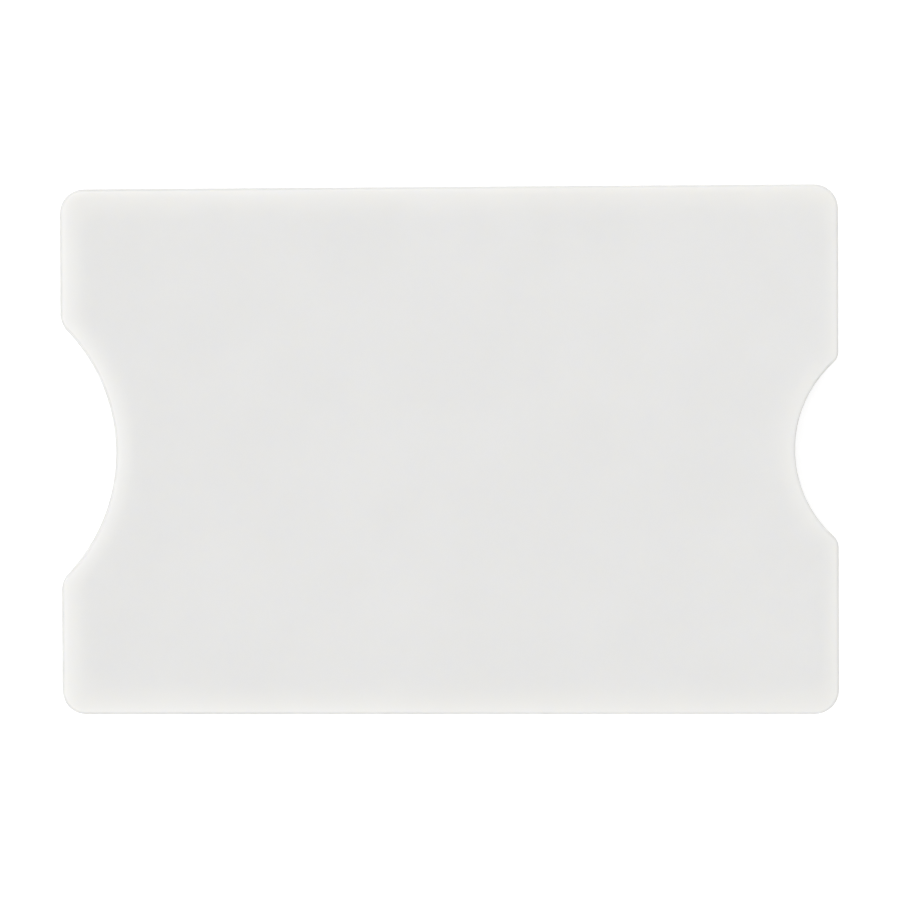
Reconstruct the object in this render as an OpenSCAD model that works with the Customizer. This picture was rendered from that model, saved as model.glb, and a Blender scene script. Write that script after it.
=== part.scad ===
// Hard card sleeve with a radio shield in each face.
// Two white moulded shells meet half way through the thickness and leave a slot for one bank card.
// The card goes in at the mouth (-X), beside the wide thumb notch, and is pushed out through the
// narrow notch in the closed end (+X). X runs along the card, Y across it, Z through the thickness.

/* [Card] */
// Length of the card that the slot holds
card_len = 85.6; // [70:0.1:100]
// Width of the card
card_wid = 53.98; // [48:0.01:70]
// Thickness of the card's flat body
card_thick = 0.76; // [0.5:0.01:1]
// Room between the card and the end wall
end_gap = 0.2; // [0.1:0.05:1]
// Room beside each long edge of the card
side_gap = 0.26; // [0.1:0.01:1]

/* [Shells] */
// Width of the solid rim along each long side
side_rim = 2.25; // [1.8:0.05:4]
// Thickness of the wall across the closed end
end_wall = 1.2; // [0.8:0.1:3]
// Thickness of each face wall
face_wall = 0.9; // [0.8:0.05:1.5]
// Height of the slot between the two face walls
slot_height = 1.6; // [1.4:0.05:3]
// Radius of the four corners, seen from the front
corner_r = 2.7; // [1.5:0.1:5]
// Radius of the slot's two inner corners at the closed end
slot_corner_r = 1.5; // [0.5:0.1:2.5]
// Radius that rounds the outer edge of each shell
edge_r = 0.25; // [0.2:0.05:0.6]
// Bevel along the parting line, on each shell
seam_bevel = 0.08; // [0.04:0.01:0.15]

/* [Thumb notch] */
// Radius of the wide notch in the mouth
thumb_r = 19.8; // [17:0.1:23]
// Depth of the wide notch
thumb_depth = 6.2; // [4.5:0.1:8]
// Radius that rounds the wide notch's two tips
thumb_tip_r = 2.8; // [1.5:0.1:4]

/* [Push notch] */
// Radius of the narrow notch in the closed end
push_r = 13.1; // [11:0.1:16]
// Depth of the narrow notch
push_depth = 4.8; // [4.2:0.1:6]
// Radius that rounds the narrow notch's two tips
push_tip_r = 1.75; // [1.2:0.05:3]

/* [Mouth] */
// Depth of the lead-in bevel on the inner edge of each face wall
lead_depth = 0.2; // [0.05:0.01:0.25]
// Length of the lead-in bevel
lead_len = 0.8; // [0.3:0.05:1.2]
// Extra width on each side of the slot, right at the mouth
flare_wid = 0.4; // [0.1:0.05:0.8]
// Length over which the slot narrows from the mouth
flare_len = 1.6; // [0.5:0.1:4]

/* [Weld joint] */
// Width of the tongue on the front shell's rims
tongue_wid = 0.7; // [0.4:0.05:0.9]
// Height of the tongue
tongue_height = 0.4; // [0.2:0.05:0.6]
// Room around the tongue in its groove
tongue_gap = 0.05; // [0.02:0.01:0.1]
// Distance from each end of the rim to the groove
groove_inset = 3; // [2:0.5:10]

/* [Card grip] */
// How much thinner than the card the gap between two facing bumps is
grip_squeeze = 0.06; // [0:0.01:0.2]
// Length of a bump along the card
grip_len = 6; // [3:0.5:12]
// Width of a bump, out from the rim
grip_wid = 0.8; // [0.5:0.1:1.5]
// Distance from the mouth to the middle of a bump
grip_from_mouth = 12; // [8:1:40]

/* [Shield inlay] */
// Thickness of the adhesive that holds the shield
adhesive_thick = 0.05; // [0.03:0.01:0.1]
// Thickness of the aluminium shield
shield_thick = 0.05; // [0.03:0.01:0.12]
// Thickness of the film that covers the shield
film_thick = 0.05; // [0.03:0.01:0.1]
// Bare plastic between the mouth and the inlay
mouth_margin = 2.5; // [1.5:0.1:6]
// Bare plastic between a notch and the inlay
notch_margin = 2; // [1.5:0.1:6]
// Bare plastic between the inlay's pocket and the rims, bumps and end wall
pocket_land = 0.1; // [0.05:0.05:0.5]
// Room around the inlay in its pocket
inlay_gap = 0.15; // [0.05:0.05:0.3]
// Radius of the inlay's outer corners
inlay_corner_r = 1.35; // [0.5:0.05:3]
// Radius that rounds the inlay's tips beside the notches
inlay_tip_r = 1; // [0.5:0.1:3]

/* [Hidden] */
$fn = 96;

shell_white = [0.914, 0.906, 0.898];
shield_silver = [0.80, 0.81, 0.82];
adhesive_amber = [0.86, 0.82, 0.70];
film_clear = [0.88, 0.90, 0.91];

sleeve_len = card_len + end_gap + end_wall;
sleeve_thick = 2 * face_wall + slot_height;
half_thick = sleeve_thick / 2;
slot_half_wid = card_wid / 2 + side_gap;
half_wid = slot_half_wid + side_rim;
mouth_x = -sleeve_len / 2;
closed_x = sleeve_len / 2;
slot_end_x = closed_x - end_wall;

// Cutting shapes run this far past the faces that they cut
past = 1;
// How deep a bump reaches into the wall and the rim that carry it
bump_root = 0.3;
// The arc of a notch's tip stands this much proud of the notch and of the side, so that the three
// cross cleanly where they blend
tip_proud = 0.005;
// Least upright land left between the rounded edge and the lead-in bevel
least_land = 0.1;
lead_cut = min(lead_depth, face_wall - edge_r - least_land);

pocket_depth = adhesive_thick + shield_thick + film_thick;
adhesive_z = face_wall - pocket_depth;
shield_z = adhesive_z + adhesive_thick;
film_z = shield_z + shield_thick;

bump_height = (slot_height - card_thick + grip_squeeze) / 2;
bump_r = (pow(grip_len / 2, 2) + pow(bump_height, 2)) / (2 * bump_height);

rim_mid_y = (slot_half_wid + half_wid) / 2;

// A notch is given as its radius, its depth below the straight edge, and the radius of its tips
function notch_r(notch) = notch[0];
function notch_depth(notch) = notch[1];
function tip_r(notch) = notch[2];
// Distance from the straight edge to the notch's centre, which lies outside the sleeve
function centre_out(notch) = notch_r(notch) - notch_depth(notch);
// Distance from the straight edge to the centre of a rounded tip, inside the sleeve
function tip_x(notch) = tip_r(notch) - tip_proud;
// Half the distance between the centres of the two rounded tips
function tip_y(notch) = sqrt(
    pow(notch_r(notch) + tip_r(notch) - tip_proud, 2) - pow(centre_out(notch) + tip_x(notch), 2)
);
// Angle that a tip's arc spans, from the straight edge round to the notch
function tip_angle(notch) = atan2(tip_y(notch), centre_out(notch) + tip_x(notch));

thumb_notch = [thumb_r, thumb_depth, thumb_tip_r];
push_notch = [push_r, push_depth, push_tip_r];

// What a notch takes out of a sheet whose straight edge lies on x = 0 and whose body is at +X
module notch_void(notch) {
    towards_centre = [-cos(tip_angle(notch)), -sin(tip_angle(notch))];
    reach = notch_r(notch);
    translate([-centre_out(notch), 0])
        circle(r = notch_r(notch));
    for (flip = [0, 1])
        mirror([0, flip])
            translate([tip_x(notch), tip_y(notch)])
                difference() {
                    polygon([
                        [0, 0],
                        [-reach, 0],
                        [-reach, 0] + reach * towards_centre,
                        reach * towards_centre
                    ]);
                    circle(r = tip_r(notch));
                }
}

module rounded_sheet(x_low, x_high, y_half, radius) {
    translate([x_low + radius, -y_half])
        square([x_high - x_low - 2 * radius, 2 * y_half]);
    translate([x_low, radius - y_half])
        square([x_high - x_low, 2 * (y_half - radius)]);
    for (x = [x_low + radius, x_high - radius], y = [radius - y_half, y_half - radius])
        translate([x, y])
            circle(r = radius);
}

// A rounded sheet with a notch in the middle of each short side
module notched_sheet(x_low, x_high, y_half, radius, low_notch, high_notch) {
    difference() {
        rounded_sheet(x_low, x_high, y_half, radius);
        translate([x_low, 0])
            notch_void(low_notch);
        translate([x_high, 0])
            mirror([1, 0])
                notch_void(high_notch);
    }
}

module sleeve_outline() {
    notched_sheet(mouth_x, closed_x, half_wid, corner_r, thumb_notch, push_notch);
}

// The inlay's outline, or with room added all round, the outline of its pocket
module inlay_outline(room = 0) {
    inlay_mouth_x = mouth_x + mouth_margin - room;
    inlay_end_x = slot_end_x - pocket_land - inlay_gap + room;
    inlay_half_wid = slot_half_wid - grip_wid - pocket_land - inlay_gap + room;
    end_margin = closed_x - inlay_end_x - room;
    notched_sheet(
        inlay_mouth_x,
        inlay_end_x,
        inlay_half_wid,
        inlay_corner_r + room,
        [
            thumb_r + notch_margin - room,
            thumb_depth + notch_margin - mouth_margin,
            inlay_tip_r + room
        ],
        [
            push_r + notch_margin - room,
            push_depth + notch_margin - end_margin - room,
            inlay_tip_r + room
        ]
    );
}

// The slot seen from the front: open and flared at the mouth, rounded at the closed end
module slot_outline() {
    translate([mouth_x - past, -slot_half_wid])
        square([slot_end_x - slot_corner_r - mouth_x + past, 2 * slot_half_wid]);
    translate([mouth_x - past, slot_corner_r - slot_half_wid])
        square([slot_end_x - mouth_x + past, 2 * (slot_half_wid - slot_corner_r)]);
    for (y = [slot_corner_r - slot_half_wid, slot_half_wid - slot_corner_r])
        translate([slot_end_x - slot_corner_r, y])
            circle(r = slot_corner_r);
    polygon([
        [mouth_x - past, -slot_half_wid - flare_wid],
        [mouth_x, -slot_half_wid - flare_wid],
        [mouth_x + flare_len, -slot_half_wid],
        [mouth_x + flare_len, slot_half_wid],
        [mouth_x, slot_half_wid + flare_wid],
        [mouth_x - past, slot_half_wid + flare_wid]
    ]);
}

// Each along_ module runs a profile along one stretch of the outline. The profile's x is the
// depth into the plastic from the outline, and its y is the height above the outer face.
module along_notch(notch) {
    translate([-centre_out(notch), 0, 0])
        rotate_extrude()
            translate([notch_r(notch), 0])
                children();
    for (flip = [0, 1])
        mirror([0, flip, 0])
            translate([tip_x(notch), tip_y(notch), 0])
                rotate([0, 0, 180])
                    rotate_extrude(angle = tip_angle(notch))
                        translate([tip_r(notch), 0])
                            mirror([1, 0])
                                children();
}

module along_short_side() {
    rotate([90, 0, 0])
        linear_extrude(2 * half_wid + 2 * past, center = true)
            children();
}

module along_mouth() {
    translate([mouth_x, 0, 0]) {
        along_short_side()
            children();
        along_notch(thumb_notch)
            children();
    }
}

module along_closed_end() {
    translate([closed_x, 0, 0])
        mirror([1, 0, 0]) {
            along_short_side()
                children();
            along_notch(push_notch)
                children();
        }
}

module along_long_sides() {
    for (flip = [0, 1])
        mirror([0, flip, 0])
            translate([0, -half_wid, 0])
                rotate([90, 0, 90])
                    linear_extrude(sleeve_len + 2 * past, center = true)
                        children();
}

module along_corners() {
    for (flip_x = [0, 1], flip_y = [0, 1])
        mirror([flip_x, 0, 0])
            mirror([0, flip_y, 0])
                translate([closed_x - corner_r, half_wid - corner_r, 0])
                    rotate_extrude(angle = 90)
                        translate([corner_r, 0])
                            mirror([1, 0])
                                children();
}

module along_outline() {
    along_mouth()
        children();
    along_closed_end()
        children();
    along_long_sides()
        children();
    along_corners()
        children();
}

module round_profile() {
    difference() {
        translate([-past, -past])
            square(past + edge_r);
        translate([edge_r, edge_r])
            circle(r = edge_r);
    }
}

module seam_profile() {
    polygon([
        [-past, half_thick - seam_bevel - past],
        [seam_bevel + past, half_thick + past],
        [-past, half_thick + past]
    ]);
}

module lead_profile() {
    polygon([
        [-past, face_wall - lead_cut],
        [0, face_wall - lead_cut],
        [lead_len, face_wall],
        [lead_len, face_wall + past],
        [-past, face_wall + past]
    ]);
}

// Ramped bump in the corner between a face wall and a rim
module grip_bump() {
    translate([mouth_x + grip_from_mouth, -slot_half_wid + grip_wid, 0])
        rotate([90, 0, 0])
            linear_extrude(grip_wid + bump_root)
                intersection() {
                    translate([0, face_wall + bump_height - bump_r])
                        circle(r = bump_r);
                    translate([-grip_len, face_wall - bump_root])
                        square([2 * grip_len, bump_root + bump_height + past]);
                }
}

// Straight bar with round ends along each long rim: the tongue, or with room added, its groove
module rim_bars(height, room = 0) {
    bar_half_len = sleeve_len / 2 - groove_inset;
    bar_r = tongue_wid / 2 + room;
    for (y = [-rim_mid_y, rim_mid_y])
        translate([0, y, 0])
            linear_extrude(height) {
                square([2 * (bar_half_len - bar_r), 2 * bar_r], center = true);
                for (x = [bar_r - bar_half_len, bar_half_len - bar_r])
                    translate([x, 0])
                        circle(r = bar_r);
            }
}

// One half of the sleeve, outer face down on z = 0 and parting face up
module shell_half() {
    difference() {
        linear_extrude(half_thick)
            sleeve_outline();
        along_outline()
            round_profile();
        along_outline()
            seam_profile();
        translate([0, 0, face_wall])
            linear_extrude(half_thick)
                slot_outline();
        translate([0, 0, adhesive_z])
            linear_extrude(half_thick)
                inlay_outline(room = inlay_gap);
        intersection() {
            along_mouth()
                lead_profile();
            linear_extrude(half_thick)
                slot_outline();
        }
    }
    for (flip = [0, 1])
        mirror([0, flip, 0])
            grip_bump();
}

module inlay_layer(z, thick) {
    translate([0, 0, z])
        linear_extrude(thick)
            inlay_outline();
}

// Turns a piece of the rear half over, so that it faces the other way as part of the front half
module in_front() {
    translate([0, 0, sleeve_thick])
        mirror([0, 0, 1])
            children();
}

module rear_shell() {
    color(shell_white)
        difference() {
            shell_half();
            translate([0, 0, half_thick - tongue_height - tongue_gap])
                rim_bars(tongue_height + tongue_gap + past, room = tongue_gap);
        }
}

module front_shell() {
    color(shell_white) {
        in_front()
            shell_half();
        translate([0, 0, half_thick - tongue_height])
            rim_bars(tongue_height + bump_root);
    }
}

module rear_adhesive() {
    color(adhesive_amber)
        inlay_layer(adhesive_z, adhesive_thick);
}

module front_adhesive() {
    color(adhesive_amber)
        in_front()
            inlay_layer(adhesive_z, adhesive_thick);
}

module rear_shield() {
    color(shield_silver)
        inlay_layer(shield_z, shield_thick);
}

module front_shield() {
    color(shield_silver)
        in_front()
            inlay_layer(shield_z, shield_thick);
}

module rear_film() {
    color(film_clear)
        inlay_layer(film_z, film_thick);
}

module front_film() {
    color(film_clear)
        in_front()
            inlay_layer(film_z, film_thick);
}

front_shell();
rear_shell();
front_shield();
rear_shield();
front_adhesive();
rear_adhesive();
front_film();
rear_film();
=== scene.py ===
"""Looks for a rigid white card sleeve with a foil shield inside each face.

The packed model gives every piece at its real size, in metres, with the mouth at -X and the front
face up. This script gives each piece its finish, lays the sleeve on a pale floor and lights it.
"""

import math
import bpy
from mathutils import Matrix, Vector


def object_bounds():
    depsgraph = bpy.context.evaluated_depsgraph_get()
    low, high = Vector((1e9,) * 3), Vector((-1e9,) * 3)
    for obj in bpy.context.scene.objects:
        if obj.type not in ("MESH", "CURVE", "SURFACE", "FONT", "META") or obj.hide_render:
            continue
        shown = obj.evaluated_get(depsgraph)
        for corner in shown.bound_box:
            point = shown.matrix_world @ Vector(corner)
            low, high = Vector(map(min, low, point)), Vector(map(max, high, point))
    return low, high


bl_info = {
    "name": "Rigid Card Sleeve",
    "version": (1, 0, 0),
    "blender": (4, 5, 0),
    "location": "3D View > Sidebar > Card Sleeve",
    "description": "Finishes, floor, light and camera for a moulded card sleeve",
    "category": "Object",
}

import bpy
from bpy.props import FloatProperty, FloatVectorProperty, PointerProperty
from mathutils import Vector

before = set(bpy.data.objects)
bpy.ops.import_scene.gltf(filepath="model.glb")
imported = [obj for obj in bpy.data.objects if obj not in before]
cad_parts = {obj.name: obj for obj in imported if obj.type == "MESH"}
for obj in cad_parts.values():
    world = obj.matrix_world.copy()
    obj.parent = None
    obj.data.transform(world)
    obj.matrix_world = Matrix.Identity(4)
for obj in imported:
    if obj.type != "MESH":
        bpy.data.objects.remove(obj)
CAD_BOX = [list(corner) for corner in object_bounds()]
SLEEVE_LOW, SLEEVE_HIGH = (Vector(corner) for corner in CAD_BOX)
MM = 0.001


# Settings


def length(name, description, millimetres):
    return FloatProperty(
        name=name,
        description=description,
        subtype="DISTANCE",
        unit="LENGTH",
        min=0,
        default=millimetres * MM,
        precision=6,
    )


def share(name, description, value):
    return FloatProperty(
        name=name, description=description, subtype="FACTOR", min=0, max=1, default=value
    )


def colour(name, description, value):
    return FloatVectorProperty(
        name=name,
        description=description,
        subtype="COLOR",
        size=3,
        min=0,
        max=1,
        default=value,
    )


class OutlineSettings(bpy.types.PropertyGroup):
    """The outline that the finishes follow, seen from above."""

    length: length("Length", "From the mouth to the closed end", (SLEEVE_HIGH.x - SLEEVE_LOW.x) / MM)
    width: length("Width", "Across the sleeve", (SLEEVE_HIGH.y - SLEEVE_LOW.y) / MM)
    corner_radius: length("Corner Radius", "Radius of the four outer corners", 2.7)
    thumb_radius: length("Thumb Notch Radius", "Radius of the wide notch in the mouth", 19.8)
    thumb_depth: length("Thumb Notch Depth", "Depth of the wide notch", 6.2)
    thumb_tip: length("Thumb Notch Tip", "Radius that rounds the tips beside the wide notch", 2.8)
    push_radius: length("Push Notch Radius", "Radius of the notch in the closed end", 13.1)
    push_depth: length("Push Notch Depth", "Depth of the notch in the closed end", 4.8)
    push_tip: length("Push Notch Tip", "Radius that rounds the tips beside that notch", 1.75)


class ShellSettings(bpy.types.PropertyGroup):
    """The white moulded plastic of both shells."""

    plastic: colour("Plastic", "Colour of the broad faces", (0.835, 0.829, 0.808))
    # Painted glow: a paler colour along the outline that stands in for light scattering in through
    # the rim, strongest at the mouth.
    margin: colour("Margin", "Colour along the outline, where the rim glows", (0.874, 0.872, 0.861))
    # Painted shade: a darker line on the rounded edges of the outline, where they turn from the
    # light.
    edge_shade_colour: colour("Painted Edge Shade", "Colour of the painted shade on the rounded edges", (0.60, 0.598, 0.592))
    # Reach of the painted glow, and its share at the closed end.
    painted_glow_reach: length("Margin Reach", "Distance over which the margin fades to a third", 1.2)
    closed_end_painted_glow: share("Closed End Glow", "Share of the margin's glow at the closed end", 0.2)
    # Width and strength of the painted edge shade.
    edge_shade_width: length("Edge Shade Width", "Width of the shaded line along the edge", 0.38)
    mouth_edge_shade: share("Mouth Edge Shade", "How far the edge is shaded at the mouth", 0.73)
    closed_end_edge_shade: share("Closed End Edge Shade", "How far the edge is shaded at the closed end", 0.45)
    side_edge_shade: share("Side Edge Shade", "Share of that on the long sides and in the notches", 0.8)
    wall_edge_shade: share("Wall Edge Shade", "Share of that on the side walls between the rounded edges", 0.35)
    scatter_depth: length("Scatter Depth", "How far light wanders under the surface", 1.15)
    roughness: share("Roughness", "Roughness of the satin surface", 0.40)
    grain_size: length("Grain Size", "Size of the fine texture left by the mould", 0.16)
    grain_height: length("Grain Height", "Height of that texture", 0.0035)


class ShieldSettings(bpy.types.PropertyGroup):
    """The aluminium foil inside each face."""

    foil: colour("Foil", "Colour of the bare aluminium", (0.86, 0.865, 0.87))
    roughness: share("Roughness", "Roughness between the rolling lines", 0.22)
    line_spacing: length("Line Spacing", "Distance between rolling lines", 0.12)
    ripple_size: length("Ripple Size", "Size of the soft waves in the laid foil", 4.5)
    ripple_height: length("Ripple Height", "Height of those waves", 0.012)


class AdhesiveSettings(bpy.types.PropertyGroup):
    """The adhesive sheet between each foil and its shell."""

    glue: colour("Glue", "Colour of the adhesive", (0.80, 0.74, 0.58))
    bubble: colour("Bubbles", "Colour where small bubbles are caught", (0.88, 0.85, 0.76))
    roughness: share("Roughness", "Roughness of the adhesive", 0.36)
    bubble_size: length("Bubble Size", "Distance between bubbles", 1.1)


class FilmSettings(bpy.types.PropertyGroup):
    """The clear film that the card slides on."""

    film: colour("Film", "Tint of the film", (0.86, 0.88, 0.89))
    clearness: share("Clearness", "Share of the foil that shows through", 0.68)
    roughness: share("Roughness", "Roughness where no card has rubbed", 0.09)
    rub_spacing: length("Rub Spacing", "Distance between the lines that cards leave", 0.35)


class StageSettings(bpy.types.PropertyGroup):
    """The floor, the light and the camera."""

    floor_size: length("Floor Size", "Length of each side of the floor", 12000)
    floor: colour("Floor", "Colour of the floor", (0.80, 0.80, 0.80))
    floor_lift: share("Floor Lift", "Light added to the floor in the camera's eye", 0.42)
    sky: FloatProperty(name="Sky", description="Soft light from all round", min=0, default=0.905)
    sky_lean: FloatVectorProperty(
        name="Sky Lean",
        description="Side on which that light is stronger, and by what share",
        subtype="XYZ",
        size=3,
        default=(-0.36, 0.11, 0.0),
    )
    key_power: FloatProperty(
        name="Key Power",
        description="Power of the large soft lamp overhead",
        subtype="POWER",
        unit="POWER",
        min=0,
        default=2.2,
    )
    key_size: length("Key Size", "Side of the lamp", 900)
    key_place: FloatVectorProperty(
        name="Key Place",
        description="Where the lamp hangs",
        subtype="TRANSLATION",
        unit="LENGTH",
        size=3,
        default=(0.05, 0.10, 1.45),
    )
    lens: FloatProperty(
        name="Lens",
        description="Focal length of the camera",
        unit="CAMERA",
        min=1,
        default=80.0,
    )
    camera_place: FloatVectorProperty(
        name="Camera Place",
        description="Where the camera hangs above the sleeve",
        subtype="TRANSLATION",
        unit="LENGTH",
        size=3,
        precision=6,
        default=(0.006041, 0.00215, 0.22687),
    )
    camera_tilt: FloatVectorProperty(
        name="Camera Tilt",
        description="Small turns of the camera away from straight down",
        subtype="EULER",
        unit="ROTATION",
        size=3,
        precision=5,
        default=(math.radians(-0.534), math.radians(1.485), math.radians(-0.221)),
    )


# Shader trees


def connect(tree, value, socket):
    """Feeds a socket with another node's output, or sets it to a number or a colour."""
    if isinstance(value, bpy.types.NodeSocket):
        tree.links.new(value, socket)
    elif socket.type == "RGBA" and len(value) == 3:
        socket.default_value = (*value, 1)
    else:
        socket.default_value = value


def maths(tree, operation, *values):
    node = tree.nodes.new("ShaderNodeMath")
    node.operation = operation
    for value, socket in zip(values, node.inputs):
        connect(tree, value, socket)
    return node.outputs["Value"]


def minus(tree, first, second):
    return maths(tree, "SUBTRACT", first, second)


def times(tree, first, second):
    return maths(tree, "MULTIPLY", first, second)


def greater(tree, first, second):
    return maths(tree, "MAXIMUM", first, second)


def lesser(tree, first, second):
    return maths(tree, "MINIMUM", first, second)


def raised(tree, base, value, strength):
    """The base, raised by a value in the given strength."""
    return maths(tree, "MULTIPLY_ADD", value, strength, base)


def vector_maths(tree, operation, *values):
    node = tree.nodes.new("ShaderNodeVectorMath")
    node.operation = operation
    for value, socket in zip(values, node.inputs):
        connect(tree, value, socket)
    return node.outputs["Value" if operation in {"LENGTH", "DOT_PRODUCT"} else "Vector"]


def fit_range(tree, value, from_low, from_high, to_low, to_high):
    """The value moved smoothly from one range to another, and held at its ends."""
    node = tree.nodes.new("ShaderNodeMapRange")
    node.interpolation_type = "SMOOTHSTEP"
    for number, socket in zip((value, from_low, from_high, to_low, to_high), node.inputs):
        connect(tree, number, socket)
    return node.outputs["Result"]


def spread(tree, value, reach, low=0.0, high=1.0):
    """Noise that keeps within a reach of one half, spread over the whole of another range."""
    return fit_range(tree, value, 0.5 - reach, 0.5 + reach, low, high)


def blend(tree, factor, first, second):
    node = tree.nodes.new("ShaderNodeMix")
    node.data_type = "RGBA"
    connect(tree, factor, node.inputs[0])
    connect(tree, first, node.inputs[6])
    connect(tree, second, node.inputs[7])
    return node.outputs[2]


def noise(tree, place, scale, detail=2.0, roughness=0.5):
    node = tree.nodes.new("ShaderNodeTexNoise")
    connect(tree, place, node.inputs["Vector"])
    connect(tree, scale, node.inputs["Scale"])
    node.inputs["Detail"].default_value = detail
    node.inputs["Roughness"].default_value = roughness
    return node.outputs["Fac"]


def split(tree, vector):
    node = tree.nodes.new("ShaderNodeSeparateXYZ")
    connect(tree, vector, node.inputs[0])
    return node.outputs


def join(tree, x, y, z):
    node = tree.nodes.new("ShaderNodeCombineXYZ")
    for value, socket in zip((x, y, z), node.inputs):
        connect(tree, value, socket)
    return node.outputs[0]


def new_group(name, inputs, outputs):
    """A shader node group with named value sockets, where Place is a vector."""
    tree = bpy.data.node_groups.new(name, "ShaderNodeTree")
    for socket, value in inputs.items():
        kind = "NodeSocketVector" if socket == "Place" else "NodeSocketFloat"
        made = tree.interface.new_socket(socket, in_out="INPUT", socket_type=kind)
        if value is not None:
            made.default_value = value
    for socket in outputs:
        tree.interface.new_socket(socket, in_out="OUTPUT", socket_type="NodeSocketFloat")
    given = tree.nodes.new("NodeGroupInput").outputs
    put = tree.nodes.new("NodeGroupOutput").inputs
    return tree, given, put


def use_group(tree, name, **values):
    """Places a shared group in a material, with its own values."""
    node = tree.nodes.new("ShaderNodeGroup")
    node.node_tree = bpy.data.node_groups.get(name) or GROUPS[name]()
    for key, value in values.items():
        connect(tree, value, node.inputs[key.replace("_", " ").title()])
    return node.outputs


# Node groups, which measure in millimetres


def rounded_least(tree, first, second, reach):
    """The smaller of two depths, rounded where both are under the reach."""
    short = [greater(tree, minus(tree, reach, depth), 0.0) for depth in (first, second)]
    near = minus(tree, reach, vector_maths(tree, "LENGTH", join(tree, *short, 0.0)))
    beyond = greater(tree, minus(tree, lesser(tree, first, second), reach), 0.0)
    return maths(tree, "ADD", near, beyond)


def outline_group():
    """How far a point lies inside the sleeve's outline, round both notches too."""
    notches = ("Thumb", "Push")
    sizes = ["Half Length", "Half Width", "Corner"]
    for notch in notches:
        sizes += [f"{notch} Centre", f"{notch} Radius", f"{notch} Blend"]
    inputs = {"Place": None, **dict.fromkeys(sizes, 1.0)}
    tree, given, put = new_group("inside_outline", inputs, ["Depth"])
    x, y, _ = split(tree, given["Place"])
    corner = given["Corner"]
    over_x = minus(tree, maths(tree, "ABSOLUTE", x), minus(tree, given["Half Length"], corner))
    over_y = minus(tree, maths(tree, "ABSOLUTE", y), minus(tree, given["Half Width"], corner))
    in_corner = join(tree, greater(tree, over_x, 0.0), greater(tree, over_y, 0.0), 0.0)
    inner = lesser(tree, greater(tree, over_x, over_y), 0.0)
    depth = minus(tree, minus(tree, corner, vector_maths(tree, "LENGTH", in_corner)), inner)
    for notch in notches:
        across = minus(tree, x, given[f"{notch} Centre"])
        away = vector_maths(tree, "LENGTH", join(tree, across, y, 0.0))
        from_notch = minus(tree, away, given[f"{notch} Radius"])
        depth = rounded_least(tree, depth, from_notch, given[f"{notch} Blend"])
    connect(tree, greater(tree, depth, 0.0), put["Depth"])
    return tree


def grain_group():
    """Fine texture of a moulded or coated surface, and a broad cloudiness over it."""
    inputs = {"Place": None, "Size": 0.2, "Cloud Size": 10.0}
    tree, given, put = new_group("fine_grain", inputs, ["Height", "Cloud"])
    fine_scale = maths(tree, "DIVIDE", 1.0, given["Size"])
    fine = noise(tree, given["Place"], fine_scale, detail=2.0, roughness=0.55)
    cloud_scale = maths(tree, "DIVIDE", 1.0, given["Cloud Size"])
    cloud = noise(tree, given["Place"], cloud_scale, detail=3.0, roughness=0.5)
    connect(tree, fine, put["Height"])
    connect(tree, spread(tree, cloud, reach=0.2), put["Cloud"])
    return tree


def lines_group():
    """Fine lines along the sleeve, as rolling leaves in foil and a sliding card leaves in film."""
    patch_share = 0.12
    inputs = {"Place": None, "Spacing": 0.2, "Stretch": 0.02}
    tree, given, put = new_group("lengthwise_lines", inputs, ["Lines", "Patches"])
    x, y, z = split(tree, given["Place"])
    drawn = join(tree, times(tree, x, given["Stretch"]), y, z)
    line_scale = maths(tree, "DIVIDE", 1.0, given["Spacing"])
    lines = noise(tree, drawn, line_scale, detail=3.0, roughness=0.6)
    patch_scale = maths(tree, "DIVIDE", patch_share, given["Spacing"])
    patches = noise(tree, drawn, patch_scale, detail=2.0, roughness=0.5)
    connect(tree, spread(tree, lines, reach=0.18), put["Lines"])
    connect(tree, spread(tree, patches, reach=0.15), put["Patches"])
    return tree


GROUPS = {
    "inside_outline": outline_group,
    "fine_grain": grain_group,
    "lengthwise_lines": lines_group,
}


# Materials


def new_finish(name):
    """A material with one Principled shader, its tree, that shader's inputs, and the place in mm."""
    material = bpy.data.materials.new(name)
    material.use_nodes = True
    tree = material.node_tree
    tree.nodes.clear()
    shader = tree.nodes.new("ShaderNodeBsdfPrincipled")
    output = tree.nodes.new("ShaderNodeOutputMaterial")
    tree.links.new(shader.outputs[0], output.inputs["Surface"])
    coordinates = tree.nodes.new("ShaderNodeTexCoord")
    place = vector_maths(tree, "MULTIPLY", coordinates.outputs["Object"], (1 / MM, 1 / MM, 1 / MM))
    return material, tree, shader.inputs, place


def bump(tree, height, distance):
    node = tree.nodes.new("ShaderNodeBump")
    connect(tree, height, node.inputs["Height"])
    node.inputs["Distance"].default_value = distance
    return node.outputs["Normal"]


def tip_blend(radius, depth, tip):
    """The reach over which two depths blend, so that they round a notch's tip as its radius does."""
    turn = math.acos(1 - depth / radius)
    rounded_off = tip * (1 - math.cos(turn / 2))
    return rounded_off / (1 - math.sqrt(0.5))


def inside_outline(tree, place, outline):
    """The depth inside the outline at each point."""
    half = outline.length / 2
    return use_group(
        tree,
        "inside_outline",
        place=place,
        half_length=half / MM,
        half_width=outline.width / 2 / MM,
        corner=outline.corner_radius / MM,
        thumb_centre=(outline.thumb_depth - half - outline.thumb_radius) / MM,
        thumb_radius=outline.thumb_radius / MM,
        thumb_blend=tip_blend(outline.thumb_radius, outline.thumb_depth, outline.thumb_tip) / MM,
        push_centre=(half + outline.push_radius - outline.push_depth) / MM,
        push_radius=outline.push_radius / MM,
        push_blend=tip_blend(outline.push_radius, outline.push_depth, outline.push_tip) / MM,
    )["Depth"]


def painted_glow_share(tree, along, half, depth, shell):
    """Painted glow: one on the outline at the mouth, fading inwards and towards the closed end."""
    fade = maths(tree, "EXPONENT", times(tree, depth, -MM / shell.painted_glow_reach))
    return times(tree, fade, fit_range(tree, along, -half, half, 1.0, shell.closed_end_painted_glow))


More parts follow.
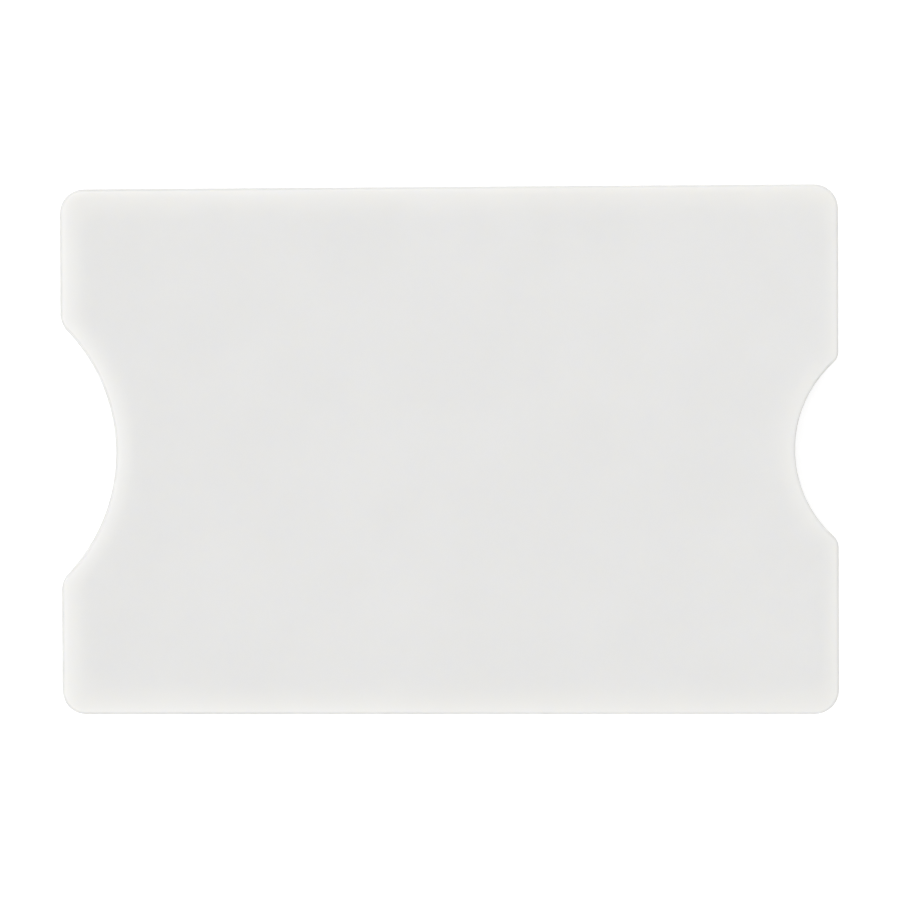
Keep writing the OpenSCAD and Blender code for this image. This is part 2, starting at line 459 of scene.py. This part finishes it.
def painted_edge_shade(tree, place, half, depth, shell):
    """How far painted shade darkens the edge, most on the rounded edges of the mouth."""
    fully_shaded = 0.14
    end_begins, end_full = 2.0, 0.3
    rounding_begins, rounding_full = 0.55, 0.25
    patches_per_mm = 0.45
    least_patch, most_patch = 0.88, 1.12

    along, _, height = split(tree, place)
    # Painted shade, darkest on the outline and fading inwards.
    edge_shade = fit_range(tree, depth, fully_shaded, shell.edge_shade_width / MM, 1.0, 0.0)
    card_rubs_and_edge_shade = fit_range(tree, along, -half, half, shell.mouth_edge_shade, shell.closed_end_edge_shade)
    off_centre = maths(tree, "ABSOLUTE", along)
    ends = fit_range(tree, off_centre, half - end_begins, half - end_full, shell.side_edge_shade, 1.0)
    middle = (SLEEVE_LOW.z + SLEEVE_HIGH.z) / 2 / MM
    off_middle = maths(tree, "ABSOLUTE", minus(tree, height, middle))
    rounded = fit_range(
        tree, off_middle, middle - rounding_begins, middle - rounding_full, shell.wall_edge_shade, 1.0
    )
    patches = noise(tree, place, patches_per_mm)
    patchy = spread(tree, patches, reach=0.2, low=least_patch, high=most_patch)
    for mask in (card_rubs_and_edge_shade, ends, rounded, patchy):
        edge_shade = times(tree, edge_shade, mask)
    return edge_shade


def white_plastic(shell, outline):
    """Satin plastic with a painted glow along the outline, painted shade on its rounded edges, faint
    clouds and a mould's texture.
    """
    cloud_size, cloud_tint, cloud_colour = 9.0, 0.05, (0.70, 0.70, 0.69)
    cloud_rough, grain_rough = 0.07, 0.06

    material, tree, shader, place = new_finish("satin_white_plastic")
    depth = inside_outline(tree, place, outline)
    grain_size = shell.grain_size / MM
    grain = use_group(tree, "fine_grain", place=place, size=grain_size, cloud_size=cloud_size)
    half = outline.length / 2 / MM
    # Painted glow along the outline, for light that scatters in through the rim.
    glow = painted_glow_share(tree, split(tree, place)["X"], half, depth, shell)
    body = blend(tree, glow, shell.plastic, shell.margin)
    body = blend(tree, times(tree, grain["Cloud"], cloud_tint), body, cloud_colour)
    # Painted shade on the rounded edges of the outline.
    body = blend(tree, painted_edge_shade(tree, place, half, depth, shell), body, shell.edge_shade_colour)
    connect(tree, body, shader["Base Color"])

    satin = raised(tree, shell.roughness - cloud_rough / 2, grain["Cloud"], cloud_rough)
    connect(tree, raised(tree, satin, grain["Height"], grain_rough), shader["Roughness"])
    connect(tree, bump(tree, grain["Height"], shell.grain_height), shader["Normal"])
    shader["IOR"].default_value = 1.53
    shader["Subsurface Weight"].default_value = 1.0
    shader["Subsurface Radius"].default_value = (1.0, 0.96, 0.84)
    shader["Subsurface Scale"].default_value = shell.scatter_depth
    return material


def rolled_foil(shield):
    """Aluminium with rolling lines along the sleeve, laid in soft waves."""
    stretch = 0.015
    line_colour, line_tint = (0.62, 0.63, 0.65), 0.16
    line_rough, patch_rough, line_height = 0.12, 0.05, 0.05

    material, tree, shader, place = new_finish("rolled_foil")
    spacing = shield.line_spacing / MM
    rolled = use_group(tree, "lengthwise_lines", place=place, spacing=spacing, stretch=stretch)
    lined = blend(tree, times(tree, rolled["Lines"], line_tint), shield.foil, line_colour)
    connect(tree, lined, shader["Base Color"])
    rough = raised(tree, shield.roughness, rolled["Lines"], line_rough)
    connect(tree, raised(tree, rough, rolled["Patches"], patch_rough), shader["Roughness"])
    waves = noise(tree, place, MM / shield.ripple_size, detail=1.0)
    height = raised(tree, waves, rolled["Lines"], line_height)
    connect(tree, bump(tree, height, shield.ripple_height), shader["Normal"])
    shader["Metallic"].default_value = 1.0
    return material


def amber_glue(adhesive):
    """Adhesive with small caught bubbles."""
    grain_size, cloud_size = 0.25, 6.0
    bubble_core, bubble_rim, bubble_tint, bubble_height = 0.12, 0.24, 0.7, 0.5
    cloud_colour, cloud_tint = (0.70, 0.62, 0.45), 0.25
    grain_rough, relief = 0.16, 0.006

    material, tree, shader, place = new_finish("amber_adhesive")
    coat = use_group(tree, "fine_grain", place=place, size=grain_size, cloud_size=cloud_size)
    cells = tree.nodes.new("ShaderNodeTexVoronoi")
    connect(tree, place, cells.inputs["Vector"])
    cells.inputs["Scale"].default_value = MM / adhesive.bubble_size
    bubbles = fit_range(tree, cells.outputs["Distance"], bubble_core, bubble_rim, 1.0, 0.0)
    tint = blend(tree, times(tree, coat["Cloud"], cloud_tint), adhesive.glue, cloud_colour)
    tint = blend(tree, times(tree, bubbles, bubble_tint), tint, adhesive.bubble)
    connect(tree, tint, shader["Base Color"])
    rough = raised(tree, adhesive.roughness - grain_rough / 2, coat["Height"], grain_rough)
    connect(tree, rough, shader["Roughness"])
    height = raised(tree, coat["Height"], bubbles, bubble_height)
    connect(tree, bump(tree, height, relief * MM), shader["Normal"])
    shader["IOR"].default_value = 1.48
    return material


def clear_film(film):
    """Clear film with the lines that cards leave in patches."""
    stretch = 0.03
    worn_colour, worn_tint = (0.95, 0.95, 0.95), 0.5
    worn_rough, worn_haze, worn_relief = 0.22, 0.12, 0.002

    material, tree, shader, place = new_finish("clear_film")
    spacing = film.rub_spacing / MM
    card_rubs_and_edge_shade = use_group(tree, "lengthwise_lines", place=place, spacing=spacing, stretch=stretch)
    worn = times(tree, card_rubs_and_edge_shade["Lines"], card_rubs_and_edge_shade["Patches"])
    tint = blend(tree, times(tree, worn, worn_tint), film.film, worn_colour)
    connect(tree, tint, shader["Base Color"])
    connect(tree, raised(tree, film.roughness, worn, worn_rough), shader["Roughness"])
    connect(tree, raised(tree, 1 - film.clearness, worn, worn_haze), shader["Alpha"])
    connect(tree, bump(tree, worn, worn_relief * MM), shader["Normal"])
    shader["IOR"].default_value = 1.6
    return material


def eye_rays(tree):
    """One where a ray is the camera's, a reflection or a view through something clear."""
    path = tree.nodes.new("ShaderNodeLightPath").outputs
    seen = greater(tree, path["Is Camera Ray"], path["Is Glossy Ray"])
    return greater(tree, seen, path["Is Transmission Ray"])


def pale_floor(stage):
    """A plain floor that looks white and still takes the sleeve's shadow."""
    material = bpy.data.materials.new("pale_floor")
    material.use_nodes = True
    tree = material.node_tree
    tree.nodes.clear()
    matt = tree.nodes.new("ShaderNodeBsdfDiffuse")
    connect(tree, stage.floor, matt.inputs["Color"])
    lift = tree.nodes.new("ShaderNodeEmission")
    connect(tree, times(tree, eye_rays(tree), stage.floor_lift), lift.inputs["Strength"])
    both = tree.nodes.new("ShaderNodeAddShader")
    tree.links.new(matt.outputs[0], both.inputs[0])
    tree.links.new(lift.outputs[0], both.inputs[1])
    output = tree.nodes.new("ShaderNodeOutputMaterial")
    tree.links.new(both.outputs[0], output.inputs["Surface"])
    return material


# Making


def dress(node_names, material):
    """Gives CAD pieces their material."""
    for name in node_names:
        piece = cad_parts[name]
        piece.data.materials.clear()
        piece.data.materials.append(material)


class SLEEVE_OT_shells(bpy.types.Operator):
    """Give both shells their satin white plastic"""

    bl_idname = "sleeve.shells"
    bl_label = "Shells"

    def execute(self, context):
        plastic = white_plastic(context.scene.sleeve_shell, context.scene.sleeve_outline)
        dress(["front_shell", "rear_shell"], plastic)
        return {"FINISHED"}


class SLEEVE_OT_shields(bpy.types.Operator):
    """Give both shields their rolled foil"""

    bl_idname = "sleeve.shields"
    bl_label = "Shields"

    def execute(self, context):
        dress(["front_shield", "rear_shield"], rolled_foil(context.scene.sleeve_shield))
        return {"FINISHED"}


class SLEEVE_OT_adhesives(bpy.types.Operator):
    """Give both adhesive sheets their amber glue"""

    bl_idname = "sleeve.adhesives"
    bl_label = "Adhesive Sheets"

    def execute(self, context):
        glue = amber_glue(context.scene.sleeve_adhesive)
        dress(["front_adhesive", "rear_adhesive"], glue)
        return {"FINISHED"}


class SLEEVE_OT_films(bpy.types.Operator):
    """Give both cover films their clear, rubbed surface"""

    bl_idname = "sleeve.films"
    bl_label = "Cover Films"

    def execute(self, context):
        dress(["front_film", "rear_film"], clear_film(context.scene.sleeve_film))
        return {"FINISHED"}


class SLEEVE_OT_stage(bpy.types.Operator):
    """Lay the floor, light the sleeve and hang the camera above it"""

    bl_idname = "sleeve.stage"
    bl_label = "Stage"

    def execute(self, context):
        stage = context.scene.sleeve_stage
        self.lay_floor(context, stage)
        self.light(context, stage)
        self.hang_camera(context, stage)
        context.scene.view_settings.view_transform = "Standard"
        return {"FINISHED"}

    def lay_floor(self, context, stage):
        half = stage.floor_size / 2
        sides = ((-half, -half), (half, -half), (half, half), (-half, half))
        mesh = bpy.data.meshes.new("floor")
        mesh.from_pydata([(x, y, SLEEVE_LOW.z) for x, y in sides], [], [(0, 1, 2, 3)])
        mesh.materials.append(pale_floor(stage))
        floor = bpy.data.objects.new("floor", mesh)
        context.scene.collection.objects.link(floor)

    def light(self, context, stage):
        world = bpy.data.worlds.new("studio")
        context.scene.world = world
        world.use_nodes = True
        tree = world.node_tree
        tree.nodes.clear()
        sky = tree.nodes.new("ShaderNodeBackground")
        direction = tree.nodes.new("ShaderNodeTexCoord").outputs["Generated"]
        toward = vector_maths(tree, "DOT_PRODUCT", direction, stage.sky_lean)
        lit = raised(tree, stage.sky, toward, stage.sky)
        seen = eye_rays(tree)
        unseen_light = times(tree, lit, minus(tree, 1.0, seen))
        connect(tree, (1.0, 1.0, 1.0), sky.inputs["Color"])
        connect(tree, maths(tree, "ADD", seen, unseen_light), sky.inputs["Strength"])
        output = tree.nodes.new("ShaderNodeOutputWorld")
        tree.links.new(sky.outputs[0], output.inputs["Surface"])

        lamp = bpy.data.lights.new("key_lamp", "AREA")
        lamp.size = stage.key_size
        lamp.energy = stage.key_power
        key = bpy.data.objects.new("key_lamp", lamp)
        key.location = stage.key_place
        key.rotation_euler = (-Vector(stage.key_place)).to_track_quat("-Z", "Y").to_euler()
        context.scene.collection.objects.link(key)

    def hang_camera(self, context, stage):
        camera = bpy.data.cameras.new("camera")
        camera.sensor_width = 36
        camera.lens = stage.lens
        camera.clip_start = 0.01
        eye = bpy.data.objects.new("camera", camera)
        eye.location = stage.camera_place
        eye.rotation_euler = stage.camera_tilt
        context.scene.collection.objects.link(eye)
        context.scene.camera = eye


class SLEEVE_PT_panel(bpy.types.Panel):
    """Lists the sleeve's pieces and its settings"""

    bl_idname = "SLEEVE_PT_panel"
    bl_label = "Card Sleeve"
    bl_space_type = "VIEW_3D"
    bl_region_type = "UI"
    bl_category = "Card Sleeve"

    def draw(self, context):
        for operator in OPERATORS:
            self.layout.operator(operator.bl_idname)
        for name, kind in SETTINGS.items():
            box = self.layout.box()
            box.label(text=kind.__doc__)
            for key in kind.__annotations__:
                box.prop(getattr(context.scene, name), key)


SETTINGS = {
    "sleeve_outline": OutlineSettings,
    "sleeve_shell": ShellSettings,
    "sleeve_shield": ShieldSettings,
    "sleeve_adhesive": AdhesiveSettings,
    "sleeve_film": FilmSettings,
    "sleeve_stage": StageSettings,
}
OPERATORS = (
    SLEEVE_OT_shells,
    SLEEVE_OT_shields,
    SLEEVE_OT_adhesives,
    SLEEVE_OT_films,
    SLEEVE_OT_stage,
)
CLASSES = (*SETTINGS.values(), *OPERATORS, SLEEVE_PT_panel)


def register():
    for item in CLASSES:
        bpy.utils.register_class(item)
    for name, kind in SETTINGS.items():
        setattr(bpy.types.Scene, name, PointerProperty(type=kind))


def unregister():
    for name in SETTINGS:
        delattr(bpy.types.Scene, name)
    for item in reversed(CLASSES):
        bpy.utils.unregister_class(item)


def main():
    register()
    bpy.ops.sleeve.shells()
    bpy.ops.sleeve.shields()
    bpy.ops.sleeve.adhesives()
    bpy.ops.sleeve.films()
    bpy.ops.sleeve.stage()


if __name__ == "__main__":
    main()
